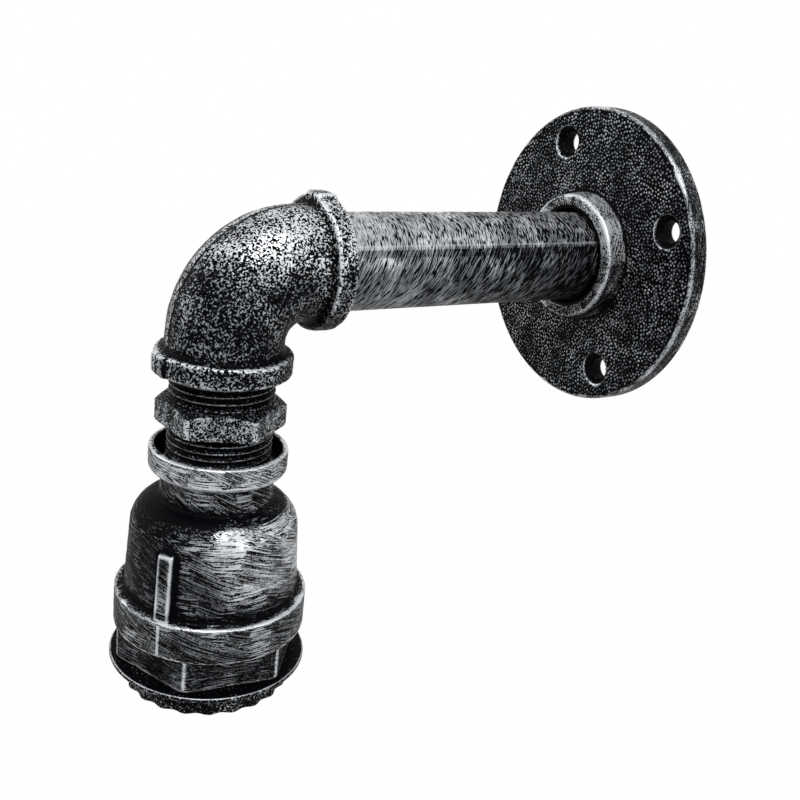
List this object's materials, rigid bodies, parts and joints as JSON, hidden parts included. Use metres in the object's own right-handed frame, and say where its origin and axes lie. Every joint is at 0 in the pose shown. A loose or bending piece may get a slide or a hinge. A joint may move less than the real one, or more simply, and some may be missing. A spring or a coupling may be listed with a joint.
{
  "type": "industrial pipe wall light",
  "caption": "Pipe-style wall light: round floor flange, short arm pipe, banded elbow, hexagon nipple and a ribbed bell socket round a screw-cap lampholder with a shade ring.",
  "frame": {"origin": "centre of the flange's back face, on the wall, which is the centre of the circle of screw holes", "axes": "+Y points into the wall, so the arm runs along -Y; the drop and the lamp point along -Z; +X is to the right for someone who faces the wall"},
  "size_m": [0.085, 0.1438, 0.155],
  "materials": {
    "casting": "black paint dry-brushed with silver over a sand-cast skin",
    "pipe": "black paint dry-brushed with silver in slanting strokes",
    "ring": "black paint with silver rubbed on the edges",
    "zinc_steel": "bright zinc plate",
    "brass": "plain rolled brass",
    "phenolic": "black moulded phenolic, semi-gloss",
    "porcelain": "pressed steatite, unglazed satin",
    "sheath": "matt black flex sheath",
    "core_live": "brown core insulation",
    "core_neutral": "blue core insulation",
    "core_earth": "green and yellow core insulation"
  },
  "bodies": {
    "wall_part": {"wall_flange": "casting", "arm_pipe": "pipe", "arm_flex": "sheath"},
    "swivel_part": {"elbow": "casting", "elbow_flex": "sheath", "hex_nipple": "casting", "tie_washer": "zinc_steel", "earth_tag": "brass", "tie_nut": "zinc_steel", "tie_tube": "zinc_steel", "earth_core": "core_earth", "live_core": "core_live", "neutral_core": "core_neutral", "cap_locknut": "zinc_steel", "cap_grub_screw": "zinc_steel", "holder_cap": "phenolic", "holder_skirt": "phenolic", "holder_insert": "porcelain", "live_terminal": "brass", "neutral_terminal": "brass", "terminal_screws": "zinc_steel", "screw_shell": "brass"},
    "bell_part": {"bell_socket": "casting"},
    "ring_part": {"shade_ring": "ring"},
    "contact_part": {"centre_contact": "brass"}
  },
  "joints": [
    {"name": "arm_swivel", "type": "hinge", "parent": "wall_part", "child": "swivel_part", "pos_m": [0, -0.092, 0], "axis": [0, 1, 0], "range_deg": [-90, 90]},
    {"name": "bell_turn", "type": "hinge", "parent": "swivel_part", "child": "bell_part", "pos_m": [0, -0.1182, -0.0459], "axis": [0, 0, 1], "range_deg": [-180, 180]},
    {"name": "shade_ring_turn", "type": "hinge", "parent": "swivel_part", "child": "ring_part", "pos_m": [0, -0.1182, -0.104], "axis": [0, 0, -1], "range_deg": [0, 180]},
    {"name": "contact_press", "type": "hinge", "parent": "swivel_part", "child": "contact_part", "pos_m": [0.0075, -0.1182, -0.08945], "axis": [0, 1, 0], "range_deg": [0, 7], "stiffness_Nm_per_rad": 0.1}
  ]
}
